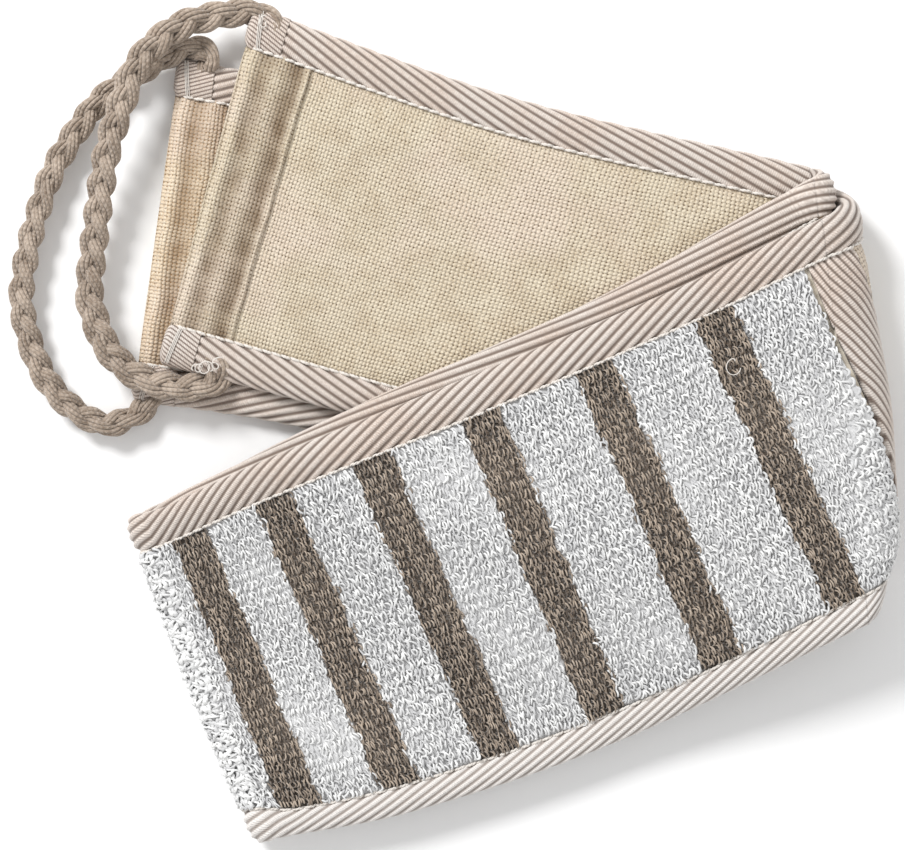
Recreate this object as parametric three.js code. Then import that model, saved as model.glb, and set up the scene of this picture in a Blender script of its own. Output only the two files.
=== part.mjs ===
// Loofah back scrubber: a long padded strap with a braided rope handle at each end,
// folded twice and laid flat.
// Millimetres, +Z up. The origin is on the flat underside of the lower end of the strap.
//
// Every strap piece is described in strap coordinates and rolled onto the folded shape by strapPoint():
//   chain   distance along the strap from the middle fold, positive towards the lower end,
//           negative towards the upper end
//   across  0 at the top edge of the strap, 100 at its bottom edge
//   height  distance from the middle of the strap's thickness, positive towards its scrubbing face
import * as THREE from 'three';

const STRAP_THICKNESS = 5;
const HALF_THICKNESS = STRAP_THICKNESS / 2;
const LAYER_PITCH = 6;
const GAP = 0.3;
const JOINT_GAP = 0.4;

const BINDING_WIDTH = 11;
const BINDING_THICKNESS = 1;
const MARGIN_START = 1.8;
const THREAD_START = BINDING_WIDTH + GAP;
const THREAD_END = THREAD_START + 1;
const PANEL_START = THREAD_END + GAP;
const PANEL_STEP = 0.1;
const FIELD_KNOTS = [31, 50, 69];
const CORE_HALF = 0.4;
const SHEET_INNER = 0.7;
const MARGIN_OUTER = 1.2;
const SOFT_EDGE = 0.2;
const HEM_RELIEF = 0.7;

const CROSS_TAPE_WIDTH = 14;
const HEM_LENGTH = 21;
const CORNER_LENGTH = 11;
const CORNER_GAP = 2.6;
const CORNER_BEVEL = 0.8;
const TACK = { width: 8, height: 0.4, depth: 1.6, inset: 2 };
const ROPE_RADIUS = 4;
const ROPE_STEPS = 26;
const TAIL_RADIUS = 1.6;

// A piece's own end and a common station closer than this would make slivers, so the station is left out.
const LEAST_STATION_GAP = 0.8;
const LEAST_SHEET_LENGTH = 1;

// The four layers lie round two nested folds that share one straight axis at the right.
const INNER_RADIUS = LAYER_PITCH / 2;
const OUTER_RADIUS = LAYER_PITCH * 1.5;
const FOLD_HEIGHT = HALF_THICKNESS + OUTER_RADIUS;
const FOLD_TOP = new THREE.Vector2(102, 61.5);
const FOLD_BOTTOM = new THREE.Vector2(115.2, -53);
const FOLD_ALONG = FOLD_BOTTOM.clone().sub(FOLD_TOP).normalize();
const FOLD_OUTWARD = new THREE.Vector2(-FOLD_ALONG.y, FOLD_ALONG.x);

// The middle fold turns the upper two layers round its own axis at the left.
const MIDDLE_RADIUS = LAYER_PITCH / 2;
const MIDDLE_HALF_ARC = (Math.PI / 2) * MIDDLE_RADIUS;

// Beyond the lower edge of the strap's ends, the upper two layers sink to the ground.
const DRAPE_DROP = 2 * LAYER_PITCH;
const DRAPE_LENGTH = 58;
const DRAPE_EDGE = new THREE.Vector2(-82, 5.3);
const DRAPE_UP = new THREE.Vector2(0.284, 0.959);

const ORIGIN = new THREE.Vector2(10, 30);

const COLOURS = {
  terry: [0xe4e2de, 1.0],
  linen: [0xd2c3ab, 0.95],
  foam: [0xe9e2d2, 0.9],
  tape: [0xc6b5a6, 0.9],
  thread: [0xf2efe9, 0.6],
  rope: [0xa9967f, 0.9],
};

function unrolled(x, y, radius) {
  const point = new THREE.Vector2(x, y).sub(FOLD_TOP);
  const inward = point.dot(FOLD_OUTWARD);
  const along = point.dot(FOLD_ALONG);
  return FOLD_TOP.clone()
    .addScaledVector(FOLD_OUTWARD, Math.PI * radius - inward)
    .addScaledVector(FOLD_ALONG, along);
}

// Each rung crosses the strap from its top edge to its bottom edge, s from the middle fold.
const rung = (s, topX, topY, bottomX, bottomY) => ({
  s,
  top: new THREE.Vector2(topX, topY),
  bottom: new THREE.Vector2(bottomX, bottomY),
});

const endRung = (s, radius, topX, topY, bottomX, bottomY) => ({
  s,
  top: unrolled(topX, topY, radius),
  bottom: unrolled(bottomX, bottomY, radius),
});

const OUTER_HALF = {
  sign: 1,
  radius: OUTER_RADIUS,
  seam: 197,
  length: 417,
  rungs: [
    rung(0, -87, -24.5, -50.5, -117),
    rung(37.5, -56.1, -9.5, -12, -109.5),
    rung(101.5, 4.2, 15.2, 48.1, -88.9),
    rung(170, 66.3, 41.6, 112.7, -56.8),
    rung(197, 92.8, 54.7, 134.2, -47),
    endRung(371, OUTER_RADIUS, -34, 96, -42.4, -0.8),
    endRung(417, OUTER_RADIUS, -77, 104, -90.3, 7.4),
  ],
};

const INNER_HALF = {
  sign: -1,
  radius: INNER_RADIUS,
  seam: 146,
  length: 383,
  rungs: [
    rung(0, -87, -24.5, -50.5, -117),
    rung(63, -30, 3.7, 10.7, -88.5),
    rung(142, 41.5, 35.8, 81, -55),
    rung(211, 101.8, 69.5, 144.8, -20.5),
    endRung(300, INNER_RADIUS, 19, 91.8, -13, -1),
    endRung(383, INNER_RADIUS, -55.1, 117.5, -82.1, 17.7),
  ],
};

function smoothstep(x) {
  const t = Math.min(1, Math.max(0, x));
  return t * t * (3 - 2 * t);
}

// A cubic through the rungs' values, with the slope at each rung taken from its neighbours.
function alongRungs(rungs, s, edge) {
  const last = rungs.length - 1;
  let i = 0;
  while (i < last - 1 && s > rungs[i + 1].s) {
    i += 1;
  }
  const slope = (k) => {
    const before = rungs[Math.max(0, k - 1)];
    const after = rungs[Math.min(last, k + 1)];
    return after[edge].clone().sub(before[edge]).divideScalar(after.s - before.s);
  };
  const span = rungs[i + 1].s - rungs[i].s;
  const t = (s - rungs[i].s) / span;
  const blend = t * t * (3 - 2 * t);
  return rungs[i][edge]
    .clone()
    .multiplyScalar(1 - blend)
    .addScaledVector(rungs[i + 1][edge], blend)
    .addScaledVector(slope(i), span * t * (1 - t) * (1 - t))
    .addScaledVector(slope(i + 1), -span * t * t * (1 - t));
}

function ribbonPoint(half, s, across) {
  const top = alongRungs(half.rungs, s, 'top');
  const bottom = alongRungs(half.rungs, s, 'bottom');
  return top.lerp(bottom, across / 100);
}

function drapeAt(point) {
  const inside = point.clone().sub(DRAPE_EDGE).dot(DRAPE_UP);
  return DRAPE_DROP * (1 - smoothstep((inside + DRAPE_LENGTH) / DRAPE_LENGTH));
}

function strapPoint(chain, across, height) {
  const half = chain >= 0 ? OUTER_HALF : INNER_HALF;
  const s = Math.abs(chain) - MIDDLE_HALF_ARC;
  if (s < 0) {
    const base = ribbonPoint(half, 0, across);
    const top = half.rungs[0].top;
    const edge = half.rungs[0].bottom.clone().sub(top).normalize();
    const angle = chain / MIDDLE_RADIUS;
    const radial = MIDDLE_RADIUS + height;
    const level = HALF_THICKNESS + MIDDLE_RADIUS + DRAPE_DROP - drapeAt(base);
    base.addScaledVector(new THREE.Vector2(edge.y, -edge.x), radial * Math.cos(angle));
    return new THREE.Vector3(base.x, base.y, level + radial * Math.sin(angle));
  }
  const point = ribbonPoint(half, s, across);
  const outward = point.clone().sub(FOLD_TOP).dot(FOLD_OUTWARD);
  const radial = half.radius + half.sign * height;
  if (outward <= 0) {
    return new THREE.Vector3(point.x, point.y, FOLD_HEIGHT + radial - drapeAt(point));
  }
  const angle = Math.min(Math.PI, outward / half.radius);
  const beyond = Math.max(0, outward - Math.PI * half.radius);
  point.addScaledVector(FOLD_OUTWARD, radial * Math.sin(angle) - beyond - outward);
  return new THREE.Vector3(point.x, point.y, FOLD_HEIGHT + radial * Math.cos(angle));
}

// The chain distance at which the strap has gone the given distance past the shared fold axis.
function chainAtFold(half, across, past) {
  let low = 0;
  let high = half.length;
  for (let i = 0; i < 40; i += 1) {
    const s = (low + high) / 2;
    const outward = ribbonPoint(half, s, across).sub(FOLD_TOP).dot(FOLD_OUTWARD);
    if (outward < past) {
      low = s;
    } else {
      high = s;
    }
  }
  return half.sign * (low + MIDDLE_HALF_ARC);
}

const at = (half, s) => () => half.sign * (s + MIDDLE_HALF_ARC);
const foldStart = (half, margin = 0) => (across) => chainAtFold(half, across, margin);
const foldEnd = (half, margin = 0) => (across) => (
  chainAtFold(half, across, Math.PI * half.radius + margin)
);

// Stations cross the strap at the same places for every piece, so that stacked pieces stay parallel.
function stationsBetween(from, to, count) {
  const stations = [];
  for (let i = 1; i < count; i += 1) {
    stations.push((across) => from(across) + ((to(across) - from(across)) * i) / count);
  }
  return stations;
}

const middleFoldStart = () => -MIDDLE_HALF_ARC;
const middleFoldEnd = () => MIDDLE_HALF_ARC;
const innerSeam = at(INNER_HALF, INNER_HALF.seam);
const innerTapeEnd = at(INNER_HALF, INNER_HALF.seam + CROSS_TAPE_WIDTH);
const MIDDLE_STATIONS = [
  innerTapeEnd,
  innerSeam,
  ...stationsBetween(innerSeam, middleFoldStart, 8),
  middleFoldStart,
  ...stationsBetween(middleFoldStart, middleFoldEnd, 4),
  middleFoldEnd,
  ...stationsBetween(middleFoldEnd, foldStart(OUTER_HALF), 10),
];
const foldStations = (half) => (
  stationsBetween(foldStart(half), foldEnd(half), half === OUTER_HALF ? 6 : 4)
);
const endStations = (half) => stationsBetween(foldEnd(half), at(half, half.length), 3);

const EDGE_KNOTS = [MARGIN_START, BINDING_WIDTH, PANEL_START - PANEL_STEP, PANEL_START];
const ACROSS_KNOTS = [
  ...EDGE_KNOTS,
  ...FIELD_KNOTS,
  ...EDGE_KNOTS.map((across) => 100 - across).reverse(),
];

// The common stations that lie inside a piece, with the piece's own ends added.
function stationsOf(from, to, common, knots) {
  const sign = Math.sign(to(knots[0]) - from(knots[0]));
  const inside = common.filter((station) => knots.every((across) => {
    const before = sign * (station(across) - from(across));
    const after = sign * (to(across) - station(across));
    return Math.min(before, after) > LEAST_STATION_GAP;
  }));
  return [from, ...inside, to];
}

// Closed body from two rails: each entry is one pair of outline points, [across, height] on each rail.
// A height may be a function of the share of the sweep, from 0 at its start to 1 at its end.
// Every four-sided patch is split along the same diagonal, so that stacked pieces stay parallel.
function sweep(rails, stations) {
  const outline = rails.map((pair) => pair[0]).concat(rails.map((pair) => pair[1]).reverse());
  const count = outline.length;
  const last = (stations.length - 1) * count;
  const positions = [];
  stations.forEach((station, i) => {
    for (const [across, height] of outline) {
      const lift = typeof height === 'function' ? height(i / (stations.length - 1)) : height;
      positions.push(...strapPoint(station(across), across, lift).toArray());
    }
  });
  const faces = [];
  for (let row = 0; row < last; row += count) {
    for (let k = 0; k < count; k += 1) {
      const next = (k + 1) % count;
      const a = row + k;
      const b = row + next;
      if (outline[k][0] < outline[next][0]) {
        faces.push(a, b, b + count, a, b + count, a + count);
      } else {
        faces.push(a, b, a + count, b, b + count, a + count);
      }
    }
  }
  for (let k = 0; k < rails.length - 1; k += 1) {
    const m = count - 1 - k;
    faces.push(k, m, k + 1, k + 1, m, m - 1);
    faces.push(last + k, last + k + 1, last + m, last + k + 1, last + m - 1, last + m);
  }
  return facingOut(positions, faces);
}

function facingOut(positions, faces) {
  const corner = (index) => new THREE.Vector3().fromArray(positions, index * 3);
  let volume = 0;
  for (let i = 0; i < faces.length; i += 3) {
    volume += corner(faces[i]).dot(corner(faces[i + 1]).cross(corner(faces[i + 2])));
  }
  if (volume < 0) {
    faces.reverse();
  }
  const geometry = new THREE.BufferGeometry();
  geometry.setAttribute('position', new THREE.Float32BufferAttribute(positions, 3));
  geometry.setIndex(faces);
  geometry.computeVertexNormals();
  return geometry;
}

// A sheet's thick field starts beside the seam thread; its thin margin runs on into the binding.
// It spans only those knots at which it runs on in its own direction, which may leave a wedge.
function sheet(side, from, to, common, direction) {
  const knots = ACROSS_KNOTS.filter(
    (across) => direction * (to(across) - from(across)) > LEAST_SHEET_LENGTH,
  );
  const rails = knots.map((across) => {
    const field = across >= PANEL_START && across <= 100 - PANEL_START;
    return [[across, side * SHEET_INNER], [across, side * (field ? HALF_THICKNESS : MARGIN_OUTER)]];
  });
  return sweep(rails, stationsOf(from, to, common, knots));
}

function core(from, to, common) {
  const rails = ACROSS_KNOTS.map((across) => [[across, -CORE_HALF], [across, CORE_HALF]]);
  return sweep(rails, stationsOf(from, to, common, ACROSS_KNOTS));
}

const inFrom = (edge) => (inset) => (edge === 'top' ? inset : 100 - inset);

// Edge binding: twill tape folded over the strap's edge, as a C open towards the strap.
function binding(edge, from, to, common) {
  const place = inFrom(edge);
  const inner = HALF_THICKNESS - BINDING_THICKNESS;
  const profile = [
    [BINDING_WIDTH, HALF_THICKNESS, BINDING_WIDTH, inner],
    [MARGIN_START, HALF_THICKNESS, MARGIN_START, inner],
    [0, inner, BINDING_THICKNESS, inner - SOFT_EDGE],
    [0, -inner, BINDING_THICKNESS, SOFT_EDGE - inner],
    [MARGIN_START, -HALF_THICKNESS, MARGIN_START, -inner],
    [BINDING_WIDTH, -HALF_THICKNESS, BINDING_WIDTH, -inner],
  ];
  const rails = profile.map(([a, h, b, k]) => [[place(a), h], [place(b), k]]);
  return sweep(rails, stationsOf(from, to, common, [place(0), place(BINDING_WIDTH)]));
}

function seamThread(edge, side, from, to, common) {
  const place = inFrom(edge);
  const low = side * (MARGIN_OUTER + GAP);
  const high = side * (HALF_THICKNESS - SOFT_EDGE);
  const knots = [THREAD_START, THREAD_END].map(place);
  const rails = knots.map((across) => [[across, low], [across, high]]);
  return sweep(rails, stationsOf(from, to, common, knots));
}

// Tape wrapped round the strap's corner, with a round hole for the rope's tail.
function cornerWrap(depth) {
  const shape = new THREE.Shape();
  const halfWidth = BINDING_WIDTH / 2;
  const halfHeight = HALF_THICKNESS;
  const bevel = CORNER_BEVEL;
  shape.moveTo(-halfWidth + bevel, -halfHeight);
  shape.lineTo(halfWidth - bevel, -halfHeight);
  shape.lineTo(halfWidth, -halfHeight + bevel);
  shape.lineTo(halfWidth, halfHeight - bevel);
  shape.lineTo(halfWidth - bevel, halfHeight);
  shape.lineTo(-halfWidth + bevel, halfHeight);
  shape.lineTo(-halfWidth, halfHeight - bevel);
  shape.lineTo(-halfWidth, -halfHeight + bevel);
  shape.closePath();
  const hole = new THREE.Path();
  hole.absarc(0, 0, TAIL_RADIUS + GAP, 0, Math.PI * 2, true);
  shape.holes.push(hole);
  return new THREE.ExtrudeGeometry(shape, { depth, bevelEnabled: false, curveSegments: 4 });
}

function rope(points) {
  const path = new THREE.CatmullRomCurve3(points.map((point) => new THREE.Vector3(...point)));
  const circle = new THREE.Shape();
  circle.absarc(0, 0, ROPE_RADIUS, 0, Math.PI * 2, false);
  return new THREE.ExtrudeGeometry(circle, {
    steps: ROPE_STEPS,
    curveSegments: 5,
    bevelEnabled: false,
    extrudePath: path,
  });
}

const group = new THREE.Group();
const model = new THREE.Group();
model.position.set(-ORIGIN.x, -ORIGIN.y, 0);
group.add(model);

function add(name, finish, geometry) {
  const [color, roughness] = COLOURS[finish];
  const material = new THREE.MeshStandardMaterial({ color, roughness, metalness: 0 });
  const mesh = new THREE.Mesh(geometry, material);
  mesh.name = name;
  model.add(mesh);
  return mesh;
}

// Of two stations, the one further along in the half's own direction, and the one less far along.
const later = (a, b, sign) => (across) => sign * Math.max(sign * a(across), sign * b(across));
const sooner = (a, b, sign) => (across) => sign * Math.min(sign * a(across), sign * b(across));

// Terry, cross tape and linen follow one another along the scrubbing face, each in every zone it reaches.

function facePiece(name, finish, half, material, zone, common) {
  const from = later(material[0], zone[0], half.sign);
  const to = sooner(material[1], zone[1], half.sign);
  add(name, finish, sheet(1, from, to, common, half.sign));
}

function addMiddle() {
  const common = MIDDLE_STATIONS;
  const start = foldStart(INNER_HALF, -JOINT_GAP);
  const end = foldStart(OUTER_HALF, -JOINT_GAP);
  const terryEnd = sooner(at(OUTER_HALF, OUTER_HALF.seam), end, 1);
  add('terry_panel', 'terry', sheet(1, innerSeam, terryEnd, common, 1));
  for (const [half, name, zoneEnd] of [[INNER_HALF, 'inner', start], [OUTER_HALF, 'outer', end]]) {
    const tape = [at(half, half.seam + GAP), at(half, half.seam + CROSS_TAPE_WIDTH)];
    facePiece(`${name}_cross_tape`, 'tape', half, tape, [tape[0], zoneEnd], common);
  }
  const linenStart = at(INNER_HALF, INNER_HALF.seam + CROSS_TAPE_WIDTH + GAP);
  add('inner_linen_strip', 'linen', sheet(1, linenStart, start, common, -1));
  add('middle_foam_core', 'foam', core(start, end, common));
  add('middle_back_panel', 'linen', sheet(-1, start, end, common, 1));
  for (const edge of ['top', 'bottom']) {
    add(`middle_binding_${edge}`, 'tape', binding(edge, start, end, common));
    add(`middle_face_seam_${edge}`, 'thread', seamThread(edge, 1, start, end, common));
    add(`middle_back_seam_${edge}`, 'thread', seamThread(edge, -1, start, end, common));
  }
}

function addFold(half, name) {
  const common = foldStations(half);
  const start = foldStart(half);
  const end = foldEnd(half);
  add(`${name}_fold_face`, 'linen', sheet(1, start, end, common, half.sign));
  add(`${name}_fold_core`, 'foam', core(start, end, common));
  add(`${name}_fold_back`, 'linen', sheet(-1, start, end, common, half.sign));
  for (const edge of ['top', 'bottom']) {
    add(`${name}_fold_binding_${edge}`, 'tape', binding(edge, start, end, common));
  }
}

function addEnd(half, name, seamSide) {
  const common = endStations(half);
  const start = foldEnd(half, JOINT_GAP);
  const end = at(half, half.length);
  const cornerStart = at(half, half.length - CORNER_LENGTH - CORNER_GAP);
  const hemStart = at(half, half.length - HEM_LENGTH);
  const panelEnd = at(half, half.length - HEM_LENGTH - GAP);
  const linen = [at(half, half.seam + CROSS_TAPE_WIDTH + GAP), panelEnd];
  const zone = [start, panelEnd];
  facePiece(`${name}_linen_panel`, 'linen', half, linen, zone, common);
  add(`${name}_foam_core`, 'foam', core(start, panelEnd, common));
  add(`${name}_back_panel`, 'linen', sheet(-1, start, panelEnd, common, half.sign));
  add(`${name}_hem`, 'linen', hem(hemStart, end, seamSide));
  for (const edge of ['top', 'bottom']) {
    add(`${name}_binding_${edge}`, 'tape', binding(edge, start, cornerStart, common));
    add(`${name}_seam_${edge}`, 'thread', seamThread(edge, seamSide, start, panelEnd, common));
    addCorner(half, name, edge);
  }
}

// The hem is the linen's end, turned under twice: two soft ridges with a stitched valley between them.
function hemHeight(share) {
  const ends = Math.cos(Math.PI * share) ** 8;
  const valley = Math.sin(Math.PI * share) ** 16;
  return HALF_THICKNESS - HEM_RELIEF * (ends + valley);
}

function hem(from, to, side) {
  const inset = BINDING_WIDTH + 2 * GAP;
  const low = -side * HALF_THICKNESS;
  const rails = [inset, ...FIELD_KNOTS, 100 - inset]
    .map((across) => [[across, low], [across, (share) => side * hemHeight(share)]]);
  return sweep(rails, [from, ...stationsBetween(from, to, 8), to]);
}

// One corner of an end: the wrap, the rope's tail inside it and the bar tack on top.
function addCorner(half, name, edge) {
  const across = edge === 'top' ? BINDING_WIDTH / 2 : 100 - BINDING_WIDTH / 2;
  const outer = strapPoint(at(half, half.length)(), across, 0);
  const inner = strapPoint(at(half, half.length - CORNER_LENGTH)(), across, 0);
  const frame = new THREE.Group();
  frame.position.copy(outer);
  const up = new THREE.Vector3(0, 0, 1);
  frame.quaternion.setFromRotationMatrix(new THREE.Matrix4().lookAt(inner, outer, up));
  model.add(frame);
  const wrap = add(`${name}_${edge}_corner_wrap`, 'tape', cornerWrap(CORNER_LENGTH));
  const tailGeometry = new THREE.CylinderGeometry(TAIL_RADIUS, TAIL_RADIUS, CORNER_LENGTH - 1, 12);
  tailGeometry.rotateX(Math.PI / 2);
  const tail = add(`${name}_${edge}_rope_tail`, 'rope', tailGeometry);
  tail.position.z = CORNER_LENGTH / 2;
  const tackGeometry = new THREE.BoxGeometry(TACK.width, TACK.height, TACK.depth);
  const tack = add(`${name}_${edge}_bar_tack`, 'thread', tackGeometry);
  tack.position.set(0, HALF_THICKNESS + GAP + TACK.height / 2, CORNER_LENGTH - TACK.inset);
  frame.add(wrap, tail, tack);
}

addMiddle();
addFold(INNER_HALF, 'inner');
addFold(OUTER_HALF, 'outer');
addEnd(INNER_HALF, 'upper_end', 1);
addEnd(OUTER_HALF, 'lower_end', -1);

// The upper handle's ends lie on the lower end's corners, and it crosses over the lower handle once.
const UPPER_LEVEL = STRAP_THICKNESS + ROPE_RADIUS + JOINT_GAP;
const LOWER_LEVEL = ROPE_RADIUS + GAP;

add('upper_rope_handle', 'rope', rope([
  [-61.5, 115.5, UPPER_LEVEL],
  [-73, 115, 11],
  [-81.3, 109.6, 12.7],
  [-88.5, 101.5, 13.1],
  [-94.8, 88, 12.7],
  [-99.3, 69, 9.6],
  [-102.6, 45, 6.4],
  [-100.3, 28, 7.4],
  [-95.6, 18.3, 9.3],
  [-88, 14.6, UPPER_LEVEL],
]));

add('lower_rope_handle', 'rope', rope([
  [-82.4, 104.6, LOWER_LEVEL],
  [-96.5, 92.5, LOWER_LEVEL],
  [-107.3, 83, LOWER_LEVEL],
  [-115.6, 68.7, LOWER_LEVEL],
  [-121, 53.2, LOWER_LEVEL],
  [-122.4, 38, LOWER_LEVEL],
  [-118.4, 17.7, LOWER_LEVEL],
  [-110.5, 6.5, LOWER_LEVEL],
  [-102.8, 1.2, LOWER_LEVEL],
  [-96, 1.8, LOWER_LEVEL],
]));

export default group;
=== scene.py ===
# Loofah back scrubber: the looks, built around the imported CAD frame.
# Lengths are millimetres until a mesh is made, which is where they become metres. Only lamps are in metres.
import math

import bpy
import numpy as np
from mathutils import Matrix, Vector


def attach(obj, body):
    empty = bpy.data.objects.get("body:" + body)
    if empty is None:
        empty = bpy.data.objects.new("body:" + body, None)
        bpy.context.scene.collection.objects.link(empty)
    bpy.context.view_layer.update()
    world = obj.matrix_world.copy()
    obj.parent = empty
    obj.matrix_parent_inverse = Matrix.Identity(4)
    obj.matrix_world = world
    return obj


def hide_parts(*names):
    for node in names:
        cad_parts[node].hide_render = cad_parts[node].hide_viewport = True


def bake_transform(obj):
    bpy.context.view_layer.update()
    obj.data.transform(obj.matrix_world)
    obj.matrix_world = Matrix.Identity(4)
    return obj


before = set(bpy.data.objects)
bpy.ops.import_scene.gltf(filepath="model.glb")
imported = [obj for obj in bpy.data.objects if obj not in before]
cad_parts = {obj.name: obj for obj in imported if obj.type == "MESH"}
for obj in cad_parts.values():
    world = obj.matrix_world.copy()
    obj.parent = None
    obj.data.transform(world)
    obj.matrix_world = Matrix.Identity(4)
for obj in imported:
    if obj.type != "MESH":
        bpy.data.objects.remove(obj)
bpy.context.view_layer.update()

MM = 0.001
ORIGIN = np.array([10.0, 30.0])

# ---------------- the folded strap
THICKNESS = 5.0
HALF = THICKNESS / 2
PITCH = 6.0
INNER_RADIUS = PITCH / 2
OUTER_RADIUS = PITCH * 1.5
FOLD_HEIGHT = HALF + OUTER_RADIUS
FOLD_TOP = np.array([102.0, 61.5])
FOLD_BOTTOM = np.array([115.2, -53.0])
FOLD_ALONG = (FOLD_BOTTOM - FOLD_TOP) / np.linalg.norm(FOLD_BOTTOM - FOLD_TOP)
FOLD_OUTWARD = np.array([-FOLD_ALONG[1], FOLD_ALONG[0]])
MIDDLE_RADIUS = PITCH / 2
MIDDLE_ARC = math.pi / 2 * MIDDLE_RADIUS
DRAPE_DROP = 2 * PITCH
DRAPE_LENGTH = 58.0
DRAPE_EDGE = np.array([-82.0, 5.3])
DRAPE_UP = np.array([0.284, 0.959])
EDGE = 11.0
WIDTH = 105.0
CROSS_TAPE = 14.0
HEM = 21.0
FOLD_BELLY = 0.24
MIDDLE_BELLY = 0.25
FOLD_PINCH = 0.55
PINCH_START = 82.0
PINCH_REACH = 20.0
# along the scrubbing half, the bindings roll in over the first stretch and out over the last
ROLL_IN = 14.0
ROLL_OUT_START = 205.0
ROLL_OUT = 25.0
ROLLED_ACROSS = (1.5, EDGE + 0.4, 92.3, 100)


def unrolled(x, y, radius):
    point = np.array([x, y]) - FOLD_TOP
    return (
        FOLD_TOP
        + FOLD_OUTWARD * (math.pi * radius - point @ FOLD_OUTWARD)
        + FOLD_ALONG * (point @ FOLD_ALONG)
    )


def end_rung(s, radius, top_x, top_y, bottom_x, bottom_y):
    return (s, *unrolled(top_x, top_y, radius), *unrolled(bottom_x, bottom_y, radius))


class StrapHalf:
    """One half of the strap, from the middle fold to its handle, laid flat as rungs from edge to edge."""

    def __init__(self, sign, radius, seam, length, rungs):
        self.sign, self.radius, self.seam, self.length = sign, radius, seam, length
        table = np.array(rungs)
        self.s, self.xy = table[:, 0], table[:, 1:]
        low = np.maximum(0, np.arange(len(rungs)) - 1)
        high = np.minimum(len(rungs) - 1, np.arange(len(rungs)) + 1)
        self.slope = (self.xy[high] - self.xy[low]) / (self.s[high] - self.s[low])[:, None]

    def flat(self, s, across):
        i = np.clip(np.searchsorted(self.s, s, side="left") - 1, 0, len(self.s) - 2)
        span = self.s[i + 1] - self.s[i]
        t = (s - self.s[i]) / span
        mix = t * t * (3 - 2 * t)
        edges = (
            self.xy[i] * (1 - mix)[..., None]
            + self.xy[i + 1] * mix[..., None]
            + self.slope[i] * (span * t * (1 - t) ** 2)[..., None]
            - self.slope[i + 1] * (span * t * t * (1 - t))[..., None]
        )
        share = (across / 100)[..., None]
        return edges[..., :2] * (1 - share) + edges[..., 2:] * share

    def eased(self, s, across):
        """Along the scrubbing half the bindings are rolled narrower, and the cloth is wider."""
        if self.sign < 0:
            return across
        narrow = smooth((s + MIDDLE_ARC) / ROLL_IN) * (1 - smooth((s - ROLL_OUT_START) / ROLL_OUT))
        rolled = np.interp(across, (0, EDGE, 100 - EDGE, 100), ROLLED_ACROSS)
        return across + narrow * (rolled - across)

    def at(self, s):
        return lambda across: np.full(np.shape(across), self.sign * (s + MIDDLE_ARC))

    def past_axis(self, past):
        """The chain distance, for each place across, at which the strap is so far past the fold's axis."""

        def chain(across):
            across = np.asarray(across, float)
            low, high = np.zeros_like(across), np.full_like(across, self.length)
            for _ in range(40):
                s = (low + high) / 2
                inside = (self.flat(s, self.eased(s, across)) - FOLD_TOP) @ FOLD_OUTWARD < past
                low, high = np.where(inside, s, low), np.where(inside, high, s)
            return self.sign * (low + MIDDLE_ARC)

        return chain

    @property
    def fold_start(self):
        return self.past_axis(0.0)

    @property
    def fold_end(self):
        return self.past_axis(math.pi * self.radius)


def smooth(x):
    t = np.clip(x, 0, 1)
    return t * t * (3 - 2 * t)


OUTER = StrapHalf(1, OUTER_RADIUS, 197.0, 417.0, [
    (0, -87, -24.5, -50.5, -117),
    (37.5, -56.1, -9.5, -12, -109.5),
    (101.5, 4.2, 15.2, 48.1, -88.9),
    (170, 66.3, 41.6, 112.7, -56.8),
    (197, 92.8, 54.7, 134.2, -47),
    end_rung(371, OUTER_RADIUS, -34, 96, -42.4, -0.8),
    end_rung(417, OUTER_RADIUS, -77, 104, -90.3, 7.4),
])
INNER = StrapHalf(-1, INNER_RADIUS, 146.0, 383.0, [
    (0, -87, -24.5, -50.5, -117),
    (63, -30, 3.7, 10.7, -88.5),
    (142, 41.5, 35.8, 81, -55),
    (211, 101.8, 69.5, 144.8, -20.5),
    end_rung(300, INNER_RADIUS, 19, 91.8, -13, -1),
    end_rung(383, INNER_RADIUS, -55.1, 117.5, -82.1, 17.7),
])


def drape(point):
    inside = (point - DRAPE_EDGE) @ DRAPE_UP
    return DRAPE_DROP * (1 - smooth((inside + DRAPE_LENGTH) / DRAPE_LENGTH))


def half_points(half, chain, across, height):
    s = np.abs(chain) - MIDDLE_ARC
    across = half.eased(s, across)
    flat = half.flat(np.maximum(s, 0), across)
    outward = (flat - FOLD_TOP) @ FOLD_OUTWARD
    radial = half.radius + half.sign * height
    angle = np.clip(outward / half.radius, 0, math.pi)
    beyond = np.maximum(0, outward - math.pi * half.radius)
    # the fold swells in the middle of the strap, and is pulled in towards its lower corner
    belly = 1 + FOLD_BELLY * np.sin(math.pi * np.clip(across, 0, 100) / 100)
    belly = belly * (1 - FOLD_PINCH * smooth((across - PINCH_START) / PINCH_REACH))
    shift = np.where(outward > 0, radial * np.sin(angle) * belly - beyond - outward, 0)
    plan = flat + shift[..., None] * FOLD_OUTWARD
    level = FOLD_HEIGHT + radial * np.cos(angle) - np.where(outward > 0, 0, drape(flat))
    # round the middle fold
    base = half.flat(np.zeros_like(s), across)
    edge = half.xy[0][2:] - half.xy[0][:2]
    edge = edge / np.linalg.norm(edge)
    turn = chain / MIDDLE_RADIUS
    reach = MIDDLE_RADIUS + height
    belly = 1 + MIDDLE_BELLY * np.sin(math.pi * across / 100)
    round_plan = base + (reach * np.cos(turn) * belly)[..., None] * np.array([edge[1], -edge[0]])
    round_level = HALF + MIDDLE_RADIUS + DRAPE_DROP - drape(base) + reach * np.sin(turn)
    in_fold = s < 0
    plan = np.where(in_fold[..., None], round_plan, plan)
    level = np.where(in_fold, round_level, level)
    return np.concatenate([plan - ORIGIN, level[..., None]], -1)


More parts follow.
